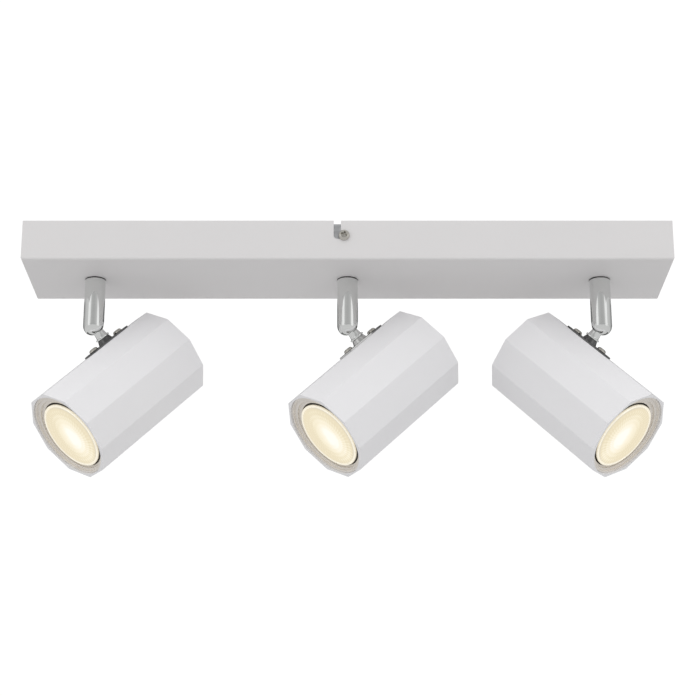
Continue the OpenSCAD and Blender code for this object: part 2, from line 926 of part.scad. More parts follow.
// Pressed glass bowl with its base
module lamp_reflector(i) {
    bowl_low = lamp_base_l + lamp_neck_l;
    bowl_high = lamp_body_l - lamp_rim_l;
    lens_seat = lamp_body_l - lens_t - lens_dome - seat_gap;
    steps = [for (k = [0:bowl_steps]) k / bowl_steps];
    outside = [for (u = steps) [bowl_r(u), bowl_low + u * (bowl_high - bowl_low)]];
    inside = [
        for (k = [bowl_steps:-1:0]) let (u = k / bowl_steps)
            [bowl_r(u) - glass_t, bowl_low + glass_t + u * (lens_seat - bowl_low - glass_t)]
    ];
    color([0.9, 0.88, 0.8])
        at_lamp(i)
            translate([0, 0, lamp_base_z])
                rotate_extrude()
                    polygon(concat(
                        [[0, 0], [lamp_base_d / 2, 0], [lamp_base_d / 2, lamp_base_l],
                         [lamp_neck_d / 2, lamp_base_l]],
                        outside,
                        [[lamp_d / 2, bowl_high], [lamp_d / 2, lamp_body_l - lens_dome],
                         [lamp_d / 2 - glass_t, lamp_body_l - lens_dome], [lamp_d / 2 - glass_t, lens_seat]],
                        inside,
                        [[0, bowl_low + glass_t]]
                    ));
}

// Slightly domed front glass, set in the rim of the bowl
module lamp_lens(i) {
    lens_r = lamp_d / 2 - glass_t - seat_gap;
    dome = [for (k = [0:dome_steps]) let (u = k / dome_steps) [lens_r * (1 - u), -lens_dome * pow(1 - u, 2)]];
    color([1, 0.96, 0.82])
        at_lamp(i)
            translate([0, 0, face_z])
                rotate_extrude()
                    polygon(concat([[0, -lens_dome - lens_t], [lens_r, -lens_dome - lens_t]], dome));
}

module lamp_pins(i) {
    color([0.75, 0.74, 0.7])
        at_lamp(i)
            pair_y(pin_spacing) {
                rod(pin_neck_d, lamp_base_z - pin_neck_l, lamp_base_z);
                rod(pin_head_d, lamp_base_z - pin_neck_l - pin_head_l, lamp_base_z - pin_neck_l);
            }
}

bar_cover();
ceiling_bracket();
bracket_screws();
swivel_washers();
terminal_block();
terminal_clamps();
live_wires();
neutral_wires();
earth_wires();
for (i = HEADS) {
    stem(i);
    stem_nipple(i);
    stem_nut(i);
    pressure_cup(i);
    joint_spring(i);
    swivel_ball(i);
    mounting_plate(i);
    head_screws(i);
    holder_bracket(i);
    head_shell(i);
    rear_cap(i);
    lamp_holder(i);
    trim_ring(i);
    head_wires(i);
    lamp_reflector(i);
    lamp_lens(i);
    lamp_pins(i);
}
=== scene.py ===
import json
import math

import bmesh
import bpy
from mathutils import Matrix, Vector


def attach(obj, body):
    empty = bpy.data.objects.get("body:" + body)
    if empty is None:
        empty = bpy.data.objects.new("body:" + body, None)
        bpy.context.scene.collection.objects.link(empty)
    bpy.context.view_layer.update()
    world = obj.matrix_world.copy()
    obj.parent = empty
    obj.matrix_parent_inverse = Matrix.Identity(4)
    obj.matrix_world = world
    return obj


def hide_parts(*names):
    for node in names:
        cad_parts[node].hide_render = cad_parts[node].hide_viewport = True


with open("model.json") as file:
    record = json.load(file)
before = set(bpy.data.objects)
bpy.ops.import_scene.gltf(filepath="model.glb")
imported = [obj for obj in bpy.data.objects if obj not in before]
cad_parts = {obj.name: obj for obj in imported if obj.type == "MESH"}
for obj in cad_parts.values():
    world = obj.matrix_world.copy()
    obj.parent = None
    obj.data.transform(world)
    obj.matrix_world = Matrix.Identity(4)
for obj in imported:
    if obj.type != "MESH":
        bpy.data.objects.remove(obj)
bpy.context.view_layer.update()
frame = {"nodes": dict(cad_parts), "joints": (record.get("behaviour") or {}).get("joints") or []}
JOINTS = {joint["name"]: joint for joint in frame["joints"]}
HEADS = (1, 2, 3)

# Pieces are made in millimetres, each in the local frame of its sub-part, then placed in metres.
MM = 0.001


# ---- Places ----

def frame_of(origin, x_axis, z_axis):
    """Turns a local frame in millimetres into the part's frame in metres."""
    x_axis, z_axis = Vector(x_axis).normalized(), Vector(z_axis).normalized()
    turn = Matrix((x_axis, z_axis.cross(x_axis), z_axis)).transposed().to_4x4()
    return Matrix.Translation(origin) @ turn @ Matrix.Scale(MM, 4)


def joint_axis(name):
    return Vector(JOINTS[name]["axis"])


def joint_point(name):
    return Vector(JOINTS[name]["pos_m"])


# Each stem's frame stands at its ball with +X the way the neck leans. Each neck's has -Z down the neck.
# Each lamp's has +Z out of the lamp's face and +X back to the neck.
BAR = Matrix.Scale(MM, 4)
STEM = {
    i: frame_of(joint_point(f"ball_tilt_{i}"), Vector((0, 0, 1)).cross(joint_axis(f"ball_tilt_{i}")), (0, 0, 1))
    for i in HEADS
}
NECK = {
    i: frame_of(joint_point(f"ball_tilt_{i}"), -joint_axis(f"lamp_twist_{i}"), -joint_axis(f"head_turn_{i}"))
    for i in HEADS
}
LAMP = {
    i: frame_of(joint_point(f"lamp_twist_{i}"), -joint_axis(f"head_turn_{i}"), joint_axis(f"lamp_twist_{i}"))
    for i in HEADS
}
LAMP_SHIFT = 1.5
SHELL_PLACE = {i: LAMP[i] @ Matrix.Translation((LAMP_SHIFT, 0, 0)) for i in HEADS}
FACE_Z = 68
LAMP_BASE_Z = 21.5
HOLDER_FRONT = 21.2


def extent(node, place):
    """Lowest and highest corner of a CAD node in a local frame, in millimetres."""
    back = place.inverted()
    corners = [back @ vertex.co for vertex in frame["nodes"][node].data.vertices]
    return Vector(map(min, zip(*corners))), Vector(map(max, zip(*corners)))


# ---- Node trees ----

class Value:
    """A socket that can be used in sums, each of which adds a Math node."""

    def __init__(self, tree, socket):
        self.tree, self.socket = tree, socket

    def __add__(self, other):
        return self.tree.math("ADD", self, other)

    def __sub__(self, other):
        return self.tree.math("SUBTRACT", self, other)

    def __rsub__(self, other):
        return self.tree.math("SUBTRACT", other, self)

    def __mul__(self, other):
        return self.tree.math("MULTIPLY", self, other)

    def __truediv__(self, other):
        return self.tree.math("DIVIDE", self, other)

    def __rtruediv__(self, other):
        return self.tree.math("DIVIDE", other, self)

    def __pow__(self, other):
        return self.tree.math("POWER", self, other)

    __radd__ = __add__
    __rmul__ = __mul__


class Tree:
    """Adds nodes to a shader or geometry tree and joins them up."""

    def __init__(self, nodes, links):
        self.nodes, self.links = nodes, links
        nodes.clear()

    def node(self, kind, settings=None, sockets=None, output=0):
        made = self.nodes.new(kind)
        for name, value in (settings or {}).items():
            if name == "stops":
                self.set_stops(made.color_ramp, value)
            else:
                setattr(made, name, value)
        for key, value in (sockets or {}).items():
            for part in value if isinstance(value, list) else [value]:
                if isinstance(part, Value):
                    self.links.new(part.socket, made.inputs[key])
                else:
                    made.inputs[key].default_value = part
        return Value(self, made.outputs[output]) if len(made.outputs) else None

    def set_stops(self, ramp, stops):
        while len(ramp.elements) < len(stops):
            ramp.elements.new(0.5)
        for element, (place, colour) in zip(ramp.elements, stops):
            element.position = place
            element.color = (*colour, 1)

    def math(self, operation, *values):
        return self.node("ShaderNodeMath", {"operation": operation}, dict(enumerate(values)))

    def mix(self, share, first, second):
        """A colour that goes from the first to the second as share goes from 0 to 1."""
        sockets = {0: share, 6: first, 7: second}
        return self.node("ShaderNodeMix", {"data_type": "RGBA"}, sockets, output=2)

    def noise(self, place, scale, detail=2.0, roughness=0.5):
        sockets = {"Vector": place, "Scale": scale, "Detail": detail, "Roughness": roughness}
        return self.node("ShaderNodeTexNoise", {}, sockets)

    def ramp(self, value, stops):
        return self.node("ShaderNodeValToRGB", {"stops": stops}, {0: value})

    def part(self, vector, axis):
        """One number of a vector, by its axis."""
        return self.node("ShaderNodeSeparateXYZ", {}, {0: vector}, output=axis)

    def vector(self, **numbers):
        """Vector from numbers named X, Y and Z. Those left out are 0."""
        return self.node("ShaderNodeCombineXYZ", {}, numbers)

    def bump(self, height, depth):
        """Bump of a height from 0 to 1 that is depth metres deep."""
        return self.node("ShaderNodeBump", {}, {"Height": height, "Distance": depth, "Strength": 1.0})


# ---- Finishes ----

def finish(name, recipe):
    """Material from a recipe, which gives the sockets of its one shader."""
    made = bpy.data.materials.new(name)
    made.use_nodes = True
    tree = Tree(made.node_tree.nodes, made.node_tree.links)
    place = tree.node("ShaderNodeTexCoord", output="Object")
    shader = tree.node("ShaderNodeBsdfPrincipled", {}, recipe(tree, place))
    tree.node("ShaderNodeOutputMaterial", {}, {"Surface": shader})
    return made


def powder_coat(colour, shade, grain):
    """Baked powder paint: an orange-peel skin of a given grain, with a faint drift of tone."""
    def recipe(tree, place):
        drift = tree.noise(place, 14.0, 3.0)
        peel = tree.noise(place, 1 / (grain * MM), 2.0, 0.55)
        speck = tree.noise(place, 4 / (grain * MM), 1.0)
        return {
            "Base Color": tree.mix(drift, (*shade, 1), (*colour, 1)),
            "Roughness": 0.36 + 0.16 * speck,
            "Specular IOR Level": 0.42,
            "Normal": tree.bump(peel + 0.35 * speck, 0.018 * MM),
        }
    return recipe


def plated(colour, shade, rough, streak, stretch):
    """Plated metal with a faint grain drawn out along one axis of the part's frame."""
    def recipe(tree, place):
        drawn = tree.node("ShaderNodeMapping", {}, {"Vector": place, "Scale": stretch})
        lines = tree.noise(drawn, 900.0, 4.0, 0.6)
        cloud = tree.noise(place, 90.0, 3.0)
        return {
            "Base Color": tree.mix(cloud, (*shade, 1), (*colour, 1)),
            "Metallic": 1.0,
            "Roughness": rough + streak * lines + 0.5 * streak * cloud,
            "Normal": tree.bump(lines, 0.002 * MM),
        }
    return recipe


def painted_reflection_disc(tree, place):
    """Plating of the mounting plates with a painted reflection in its colour: bright near the upright through
    the bar's middle and dark beyond it.
    """
    reach = 18 * MM
    radius = (tree.part(place, "X") ** 2 + tree.part(place, "Y") ** 2) ** 0.5
    cloud = tree.noise(place, 90.0, 3.0)
    # painted reflection: light grey within 18 mm of the upright through the bar's middle, near black beyond it
    tone = tree.ramp(radius / reach, [(0.90, (0.62, 0.62, 0.61)), (0.985, (0.09, 0.09, 0.09))])
    return {
        "Base Color": tree.mix(0.25 * cloud, tone, (0.50, 0.50, 0.50, 1)),
        "Metallic": 1.0,
        "Roughness": 0.06 + 0.08 * cloud,
    }


def zinc(tree, place):
    """Bright zinc plate with its small crystals."""
    crystals = tree.node("ShaderNodeTexVoronoi", {}, {"Vector": place, "Scale": 420.0}, output="Color")
    shade = tree.node("ShaderNodeSeparateColor", {}, {0: crystals})
    cloud = tree.noise(place, 60.0, 3.0)
    return {
        "Base Color": tree.mix(0.6 * shade + 0.4 * cloud, (0.50, 0.51, 0.52, 1), (0.68, 0.69, 0.70, 1)),
        "Metallic": 1.0,
        "Roughness": 0.28 + 0.2 * shade,
        "Normal": tree.bump(cloud, 0.01 * MM),
    }


def moulded(colour, shade, rough, grain=0.4):
    """Moulded plastic or rubbery insulation with a fine spark-eroded skin."""
    def recipe(tree, place):
        skin = tree.noise(place, 1 / (grain * MM), 3.0, 0.6)
        drift = tree.noise(place, 40.0, 2.0)
        return {
            "Base Color": tree.mix(drift, (*shade, 1), (*colour, 1)),
            "Roughness": rough + 0.12 * skin,
            "Normal": tree.bump(skin, 0.012 * MM),
        }
    return recipe


def earth_insulation(tree, place):
    """Green insulation with a yellow stripe along its upper side."""
    normal = tree.node("ShaderNodeNewGeometry", output="Normal")
    stripe = tree.ramp(tree.part(normal, "Z"), [(0.46, (0, 0, 0)), (0.54, (1, 1, 1))])
    skin = tree.noise(place, 2500.0, 2.0)
    return {
        "Base Color": tree.mix(stripe, (0.08, 0.30, 0.05, 1), (0.80, 0.66, 0.05, 1)),
        "Roughness": 0.34 + 0.14 * skin,
        "Normal": tree.bump(skin, 0.01 * MM),
    }


def woven_sleeve(tree, place):
    """Glass-fibre sleeve, woven from crossing strands."""
    def strands(turn):
        turned = tree.node("ShaderNodeMapping", {}, {"Vector": place, "Rotation": (0.4, turn, turn)})
        sockets = {"Vector": turned, "Scale": 480.0}
        return tree.node("ShaderNodeTexWave", {"wave_type": "BANDS"}, sockets, output=1)
    weave = strands(0.8) * strands(-0.8)
    return {
        "Base Color": tree.mix(weave, (0.70, 0.68, 0.60, 1), (0.90, 0.88, 0.82, 1)),
        "Roughness": 0.65 + 0.2 * weave,
        "Normal": tree.bump(weave, 0.06 * MM),
    }


def fired_clay(tree, place):
    """Unglazed steatite with small pits and specks."""
    pits = tree.node("ShaderNodeTexVoronoi", {}, {"Vector": place, "Scale": 900.0})
    cloud = tree.noise(place, 70.0, 4.0)
    return {
        "Base Color": tree.mix(cloud, (0.78, 0.75, 0.68, 1), (0.88, 0.86, 0.80, 1)),
        "Roughness": 0.62 + 0.2 * pits,
        "Normal": tree.bump(pits, 0.03 * MM),
    }


def pressed_ring(tree, place):
    """Satin sheet with a faint cloudiness, pale and warm."""
    cloud = tree.noise(place, 120.0, 3.0)
    return {
        "Base Color": tree.mix(cloud, (0.80, 0.75, 0.69, 1), (0.86, 0.82, 0.77, 1)),
        "Metallic": 0.35,
        "Roughness": 0.30 + 0.05 * cloud,
    }


def mirror_glass(tree, place):
    """Pressed glass bowl with a mirror coat. Its rim, near 1 in the chart's second number, glows."""
    chart = tree.node("ShaderNodeUVMap", {"uv_map": "wall"})
    ripple = tree.noise(place, 260.0, 2.0)
    glow = tree.ramp(tree.part(chart, "Y"), [(0.960, (0, 0, 0)), (0.975, (0.86, 0.78, 0.60))])
    return {
        "Base Color": tree.mix(ripple, (0.74, 0.70, 0.60, 1), (0.88, 0.85, 0.76, 1)),
        "Metallic": 0.7,
        "Roughness": 0.14 + 0.1 * ripple,
        "Coat Weight": 0.6,
        "Emission Color": glow,
        "Emission Strength": 0.5,
        "Normal": tree.bump(ripple, 0.03 * MM),
    }


def lit_glass(tree, place):
    """Front glass of a lit lamp: white off the middle, warm cream round that, with pressed rings and ribs."""
    chart = tree.node("ShaderNodeUVMap", {"uv_map": "face"})
    across, along = tree.part(chart, "X"), tree.part(chart, "Y")
    radius = tree.node("ShaderNodeVectorMath", {"operation": "LENGTH"}, {0: chart}, output="Value")
    angle = tree.math("ARCTAN2", along, across)
    ribs = 0.5 + 0.5 * tree.math("SINE", 46 * angle + 3 * tree.math("SINE", 9 * radius))
    rings = 0.5 + 0.5 * tree.math("SINE", 42 * radius)
    outer = tree.math("SMOOTH_MIN", 1.0, 2.2 * radius ** 2, 0.3)
    waves = tree.noise(chart, 3.2, 3.0)
    pressed = outer * (0.6 * ribs + 0.4 * rings)
    core = ((across + 0.15) ** 2 + 2.6 * (along - 0.16) ** 2) ** 0.5
    level = 0.66 * core + 0.30 * waves + 0.36 * pressed
    glow = tree.ramp(level, [
        (0.36, (1.0, 0.985, 0.90)), (0.60, (0.95, 0.87, 0.68)),
        (0.86, (0.87, 0.78, 0.56)), (1.0, (0.80, 0.70, 0.48)),
    ])
    edge = tree.ramp(radius, [(0.955, (0, 0, 0)), (0.985, (1, 1, 1))])
    return {
        "Base Color": tree.mix(waves, (0.08, 0.07, 0.05, 1), (0.12, 0.11, 0.09, 1)),
        "Roughness": 0.12 + 0.1 * waves,
        "Coat Weight": 0.4,
        "Emission Color": tree.mix(edge, glow, (0.72, 0.65, 0.50, 1)),
        "Emission Strength": 0.92,
        "Normal": tree.bump(pressed, 0.2 * MM),
    }


# Powder coats: colour, shade and grain in millimetres. Plated metals: colour, shade, roughness, streaks
# and the stretch of the grain. Moulded finishes: colour, shade, roughness and grain.
WHITE_STEEL = finish("white powder coat on steel", powder_coat((0.77, 0.755, 0.755), (0.74, 0.728, 0.73), 1.3))
WHITE_SHELL = finish(
    "white powder coat on aluminium", powder_coat((0.875, 0.87, 0.885), (0.84, 0.835, 0.85), 0.9))
CHROME = finish("chrome", plated((0.84, 0.85, 0.84), (0.76, 0.77, 0.76), 0.03, 0.05, (1, 1, 0.06)))
# The mounting plates' finish has a painted reflection: bright near the upright through the bar's middle, dark
# beyond it.
PAINTED_REFLECTION_DISC = finish("chromed disc with painted reflection", painted_reflection_disc)
NICKEL = finish("nickel plate", plated((0.66, 0.64, 0.59), (0.50, 0.48, 0.44), 0.05, 0.06, (1, 1, 1)))
SPRING_STEEL = finish(
    "drawn spring wire", plated((0.52, 0.52, 0.53), (0.40, 0.40, 0.41), 0.26, 0.14, (1, 1, 0.4)))
BRASS = finish("turned brass", plated((0.78, 0.60, 0.28), (0.66, 0.48, 0.20), 0.22, 0.14, (1, 0.1, 1)))
TRIM = finish("satin pressed ring", pressed_ring)
ZINC = finish("zinc plate", zinc)
BLACK_NYLON = finish("black nylon", moulded((0.035, 0.035, 0.035), (0.02, 0.02, 0.02), 0.4))
WHITE_NYLON = finish("white nylon", moulded((0.80, 0.80, 0.76), (0.74, 0.74, 0.70), 0.38))
BROWN_LEAD = finish("brown insulation", moulded((0.20, 0.09, 0.04), (0.15, 0.065, 0.03), 0.32, 0.25))
BLUE_LEAD = finish("blue insulation", moulded((0.04, 0.14, 0.46), (0.03, 0.10, 0.36), 0.32, 0.25))
EARTH_LEAD = finish("green and yellow insulation", earth_insulation)
SLEEVE = finish("woven glass sleeve", woven_sleeve)
CLAY = finish("fired clay", fired_clay)
MIRROR = finish("mirrored glass", mirror_glass)
LIT_GLASS = finish("lit front glass", lit_glass)


# ---- Making pieces ----

def new_object(name, mesh):
    made = bpy.data.objects.new(name, mesh)
    bpy.context.scene.collection.objects.link(made)
    return made


def from_bmesh(name, made):
    """Object with the shape of a bmesh, which is used up."""
    mesh = bpy.data.meshes.new(name)
    made.to_mesh(mesh)
    made.free()
    return new_object(name, mesh)


def add_modifier(obj, kind, **settings):
    made = obj.modifiers.new(kind.lower(), kind)
    for name, value in settings.items():
        setattr(made, name, value)
    return made


def settle(obj):
    """Swaps an object's mesh for the result of its modifiers."""
    graph = bpy.context.evaluated_depsgraph_get()
    result = bpy.data.meshes.new_from_object(
        obj.evaluated_get(graph), preserve_all_data_layers=True, depsgraph=graph)
    obj.modifiers.clear()
    obj.data = result
    return obj


def smooth(obj, angle=35):
    """Smooth shading that keeps edges sharper than the angle, in degrees."""
    obj.data.shade_smooth()
    obj.data.set_sharp_from_angle(angle=math.radians(angle))
    return obj


def soften(obj, width, segments=2, angle=40):
    """Rounds every sharp edge by a width in millimetres."""
    add_modifier(obj, "BEVEL", width=width, segments=segments, limit_method="ANGLE",
                 angle_limit=math.radians(angle), harden_normals=False)
    settle(obj)
    smooth(obj, 60)
    add_modifier(obj, "WEIGHTED_NORMAL", keep_sharp=True)
    return settle(obj)


def finish_piece(obj, place, body, slot, surface, *nodes):
    """Places a piece, gives it its finish and ties it to the frame."""
    obj.data.transform(place)
    obj.data.materials.clear()
    obj.data.materials.append(surface)
    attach(obj, body)
    if nodes:
        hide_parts(*nodes)
    return obj


def rounded(outline, radius, steps=4):
    """A closed outline with each corner turned into a short curve, except on the axis."""
    points = []
    spots = [Vector(spot) for spot in outline]
    for before, corner, after in zip(spots[-1:] + spots[:-1], spots, spots[1:] + spots[:1]):
        if corner.x < 1e-6:
            points.append(corner)
            continue
        run_in, run_out = before - corner, after - corner
        run = min(radius, 0.45 * run_in.length, 0.45 * run_out.length)
        start = corner + run_in.normalized() * run
        end = corner + run_out.normalized() * run
        for k in range(steps + 1):
            t = k / steps
            points.append(start.lerp(corner, t).lerp(corner.lerp(end, t), t))
    return points


def lathe(name, outline, segments=96):
    """Closed solid turned about Z from a closed outline of (radius, height) or (radius, height, X shift)."""
    made = bmesh.new()
    rings = []
    for radius, height, *shift in outline:
        count = segments if radius > 1e-6 else 1
        angles = [2 * math.pi * k / segments for k in range(count)]
        rings.append([
            made.verts.new((radius * math.cos(a) + sum(shift), radius * math.sin(a), height)) for a in angles])
    for low, high in zip(rings, rings[1:] + rings[:1]):
        if len(low) == len(high) == 1:
            continue
        for k in range(segments):
            n = (k + 1) % segments
            corners = [low[k % len(low)], low[n % len(low)], high[n % len(high)], high[k % len(high)]]
            made.faces.new(list(dict.fromkeys(corners)))
    bmesh.ops.recalc_face_normals(made, faces=made.faces)
    return smooth(from_bmesh(name, made))


def copied(name, node, place):
    """Copy of a CAD node in a local frame, with its triangles merged into whole faces."""
    mesh = frame["nodes"][node].data.copy()
    mesh.name = name
    mesh.materials.clear()
    mesh.transform(place.inverted())
    made = bmesh.new()
    made.from_mesh(mesh)
    bmesh.ops.remove_doubles(made, verts=made.verts, dist=0.003)
    bmesh.ops.dissolve_limit(made, angle_limit=math.radians(1.5), verts=made.verts, edges=made.edges)
    made.to_mesh(mesh)
    made.free()
    return new_object(name, mesh)


def soft_copy(name, node, place, width):
    return soften(copied(name, node, place), width)


def cut(obj, cutters, operation="DIFFERENCE"):
    """Takes cutters away from a solid and deletes them."""
    for cutter in cutters:
        add_modifier(obj, "BOOLEAN", operation=operation, solver="EXACT", object=cutter)
    settle(obj)
    for cutter in cutters:
        bpy.data.objects.remove(cutter)
    return obj


def rod(diameter, low, high, place=Matrix(), segments=64):
    """Plain rod on a local Z axis, for cutting."""
    made = lathe("rod", [(0, low), (diameter / 2, low), (diameter / 2, high), (0, high)], segments)
    made.data.transform(place)
    return made


def smooth_wire(name, node, place):
    """Copy of a CAD wire with its flats turned round, its ends and any tag kept sharp."""
    obj = copied(name, node, place)
    made = bmesh.new()
    made.from_mesh(obj.data)
    crease = made.edges.layers.float.new("crease_edge")
    for edge in made.edges:
        if len(edge.link_faces) == 2 and edge.calc_face_angle() > math.radians(75):
            edge[crease] = 1.0
    made.to_mesh(obj.data)
    made.free()
    add_modifier(obj, "SUBSURF", levels=1, render_levels=1)
    return smooth(settle(obj), 60)


def geometry_tree(name, inputs):
    """Empty geometry tree with named number inputs, and the tree's own inputs as values."""
    group = bpy.data.node_groups.new(name, "GeometryNodeTree")
    group.interface.new_socket("Geometry", in_out="INPUT", socket_type="NodeSocketGeometry")
    group.interface.new_socket("Geometry", in_out="OUTPUT", socket_type="NodeSocketGeometry")
    for label, value in inputs.items():
        kind = "NodeSocketInt" if isinstance(value, int) else "NodeSocketFloat"
        group.interface.new_socket(label, in_out="INPUT", socket_type=kind)
    tree = Tree(group.nodes, group.links)
    entry = group.nodes.new("NodeGroupInput")
    values = {socket.name: Value(tree, socket) for socket in entry.outputs if socket.name}
    return group, tree, values


def close_tree(group, tree, geometry, surface):
    """Ends a tree: instances made real, the finish set."""
    real = tree.node("GeometryNodeRealizeInstances", {}, {0: geometry})
    made = tree.node("GeometryNodeSetMaterial", {}, {"Geometry": real, "Material": surface})
    exit_node = group.nodes.new("NodeGroupOutput")
    tree.links.new(made.socket, exit_node.inputs[0])


def grow(obj, group, inputs):
    """Runs a geometry tree on an object and keeps the plain mesh."""
    modifier = add_modifier(obj, "NODES", node_group=group)
    for item in group.interface.items_tree:
        if item.in_out == "INPUT" and item.name in inputs:
            modifier[item.identifier] = inputs[item.name]
    return settle(obj)


def gathered(name, parts):
    """One object from (object, place) pairs. The objects are used up."""
    made = bmesh.new()
    for obj, place in parts:
        copy = obj.data.copy()
        copy.transform(place)
        made.from_mesh(copy)
    for obj, place in parts:
        bpy.data.objects.remove(obj)
    return from_bmesh(name, made)


def move(x=0, y=0, z=0):
    return Matrix.Translation((x, y, z))


def turn(degrees, axis):
    return Matrix.Rotation(math.radians(degrees), 4, axis)


# ---- Camera, light and floor ----

CAMERA_LENS = 101.88
CAMERA_SPOT = (0.0003, -1.2978, -0.5330)
CAMERA_RISE = 19.2435
PANEL_SIZE = (0.9, 1.2)
PANEL_POWER = 1.0
FLOOR_Z = -0.75


def add_camera():
    """Camera below and in front of the bar, looking up at it."""
    data = bpy.data.cameras.new("camera")
    data.sensor_width = 36
    data.lens = CAMERA_LENS
    camera = new_object("camera", data)
    camera.location = CAMERA_SPOT
    camera.rotation_euler = (math.radians(90 + CAMERA_RISE), 0, 0)
    bpy.context.scene.camera = camera


def add_panel(name, centre):
    """Soft light panel that faces the lamp heads."""
    data = bpy.data.lights.new(name, "AREA")
    data.shape = "RECTANGLE"
    data.size, data.size_y = PANEL_SIZE
    data.energy = PANEL_POWER
    panel = new_object(name, data)
    panel.location = centre
    panel.rotation_euler = (Vector((0, 0, -0.07)) - Vector(centre)).to_track_quat("-Z", "Y").to_euler()


def pale_floor(tree, place):
    cloud = tree.noise(place, 1.5, 3.0)
    return {
        "Base Color": tree.mix(cloud, (0.60, 0.60, 0.60, 1), (0.64, 0.64, 0.64, 1)),
        "Roughness": 0.8 + 0.1 * cloud,
    }


def grey(level):
    return (level, level, level)


def add_studio():
    """White all round. Polished metal mirrors grey walls, a bright floor ahead and one dark spot in it."""
    world = bpy.data.worlds.new("studio")
    world.use_nodes = True
    tree = Tree(world.node_tree.nodes, world.node_tree.links)
    direction = tree.node("ShaderNodeTexCoord", output="Generated")
    depth, height = tree.part(direction, "Y"), tree.part(direction, "Z")
    walls = tree.ramp(0.5 + 0.5 * depth, [
        (0.03, grey(0.44)), (0.20, grey(0.66)), (0.55, grey(0.56)), (0.80, grey(0.30)), (0.93, grey(0.05)),
    ])
    low = tree.ramp(0.5 - 0.5 * height, [(0.56, grey(0)), (0.66, grey(1))])
    ahead = tree.ramp(0.5 - 0.5 * depth, [(0.30, grey(0)), (0.50, grey(1))])
    toward = tree.node("ShaderNodeVectorMath", {"operation": "DOT_PRODUCT"},
                       {0: direction, 1: (0, -0.77, -0.64)}, output="Value")
    dark = tree.ramp(toward, [(0.955, grey(0)), (0.975, grey(1))])
    walls = tree.mix(low * ahead, walls, (0.98, 0.98, 0.98, 1))
    walls = tree.mix(dark, walls, (0.02, 0.02, 0.02, 1))
    gloss = tree.node("ShaderNodeLightPath", output="Is Glossy Ray")
    light = tree.node("ShaderNodeBackground", {}, {
        "Color": tree.mix(gloss, (1.0, 1.0, 1.0, 1), walls), "Strength": 1.05})
    tree.node("ShaderNodeOutputWorld", {}, {"Surface": light})
    bpy.context.scene.world = world
    bpy.context.scene.view_settings.view_transform = "Standard"
    add_panel("left_panel", (-1.4, -1.3, 0.3))
    add_panel("right_panel", (1.5, -1.2, 0.2))

    made = bmesh.new()
    bmesh.ops.create_grid(made, x_segments=1, y_segments=1, size=15)
    bmesh.ops.translate(made, verts=made.verts, vec=(0, 0, FLOOR_Z))
    floor = from_bmesh("floor", made)
    floor.data.materials.append(finish("pale floor", pale_floor))


# ---- Screws and nuts ----

def wing(length, width, low, high, floor_share):
    """One wing of a cross recess, narrower at its floor."""
    made = bmesh.new()
    bmesh.ops.create_cube(made, size=1)
    for vertex in made.verts:
        x, y, z = vertex.co
        vertex.co = (x * length * (1 if z > 0 else floor_share), y * width, high if z > 0 else low)
    return from_bmesh("wing", made)


def pan_screw(shank_d, shank_l, head_d, head_h, pitch=0.7):
    """Pan head screw that stands on z = 0, with ridges for a thread and a cross recess."""
    head = [(0, head_h), (0.32 * head_d, 0.92 * head_h), (0.45 * head_d, 0.66 * head_h),
            (head_d / 2, 0.35 * head_h), (head_d / 2, 0)]
    outline = rounded([(0, 0)] + head, 0.5)[1:]
    outline.append((shank_d / 2, 0))
    for k in range(int((shank_l - 1.6) / pitch)):
        top = -0.8 - k * pitch
        outline += [(shank_d / 2, top), (0.43 * shank_d, top - 0.35 * pitch), (shank_d / 2, top - 0.7 * pitch)]
    outline += [(0.46 * shank_d, 0.5 - shank_l), (0.36 * shank_d, -shank_l), (0, -shank_l)]
    screw = lathe("screw", outline, 40)
    for degrees in (0, 90):
        slot = wing(0.64 * head_d, 0.17 * head_d, 0.22 * head_h, head_h + 0.5, 0.6)
        slot.data.transform(turn(degrees, "Z"))
        cut(screw, [slot])
    return screw


def pair(name, piece, surface, step_x=0.0, step_y=0.0, seed=1):
    """Two copies of a piece, centred on it and a step apart, each turned at random about its own axis."""
    inputs = {"Count": 2, "Step X": float(step_x), "Step Y": float(step_y), "Spin": math.pi / 2, "Seed": seed}
    group, tree, given = geometry_tree(name, inputs)
    step_by = tree.vector(X=given["Step X"], Y=given["Step Y"])
    reach = 0.5 - 0.5 * given["Count"]
    first = tree.node("ShaderNodeVectorMath", {"operation": "SCALE"}, {0: step_by, "Scale": reach})
    line = tree.node("GeometryNodeMeshLine", {},
                     {"Count": given["Count"], "Start Location": first, "Offset": step_by})
    angle = tree.node("FunctionNodeRandomValue", {"data_type": "FLOAT"},
                      {3: given["Spin"], "Seed": given["Seed"]}, output=1)
    copies = tree.node("GeometryNodeInstanceOnPoints", {},
                       {"Points": line, "Instance": given["Geometry"], "Rotation": tree.vector(Z=angle)})
    close_tree(group, tree, copies, surface)
    return grow(piece, group, inputs)


def hex_nut(across, height, bore, segments=64):
    """Nut on z = 0 with both ends chamfered."""
    corner = across / math.sqrt(3)
    nut = lathe("nut", [(0, 0), (corner, 0), (corner, height), (0, height)], 6)
    ends = lathe("ends", [
        (0, 0), (0.48 * across, 0), (corner + 0.1, 0.18 * height),
        (corner + 0.1, 0.82 * height), (0.48 * across, height), (0, height)], segments)
    cut(nut, [ends], "INTERSECT")
    return cut(nut, [rod(bore, -1, height + 1)])


# ---- Bar ----

BAR_W = 78
BRACKET_T = 1.5
TAG_T = 0.8
LUG_T = 4
LUG_X = -17.9
EARTH_SPOT = (48, -11)
COVER_SCREW_X = -2.4
COVER_SCREW_Z = -11.2
M4 = 4
M4_HEAD = (7.8, 2.6)


def bar_cover():
    cover = soft_copy("cover", "bar_cover", BAR, 0.22)
    finish_piece(cover, BAR, "bar", "white_steel", WHITE_STEEL, "bar_cover")


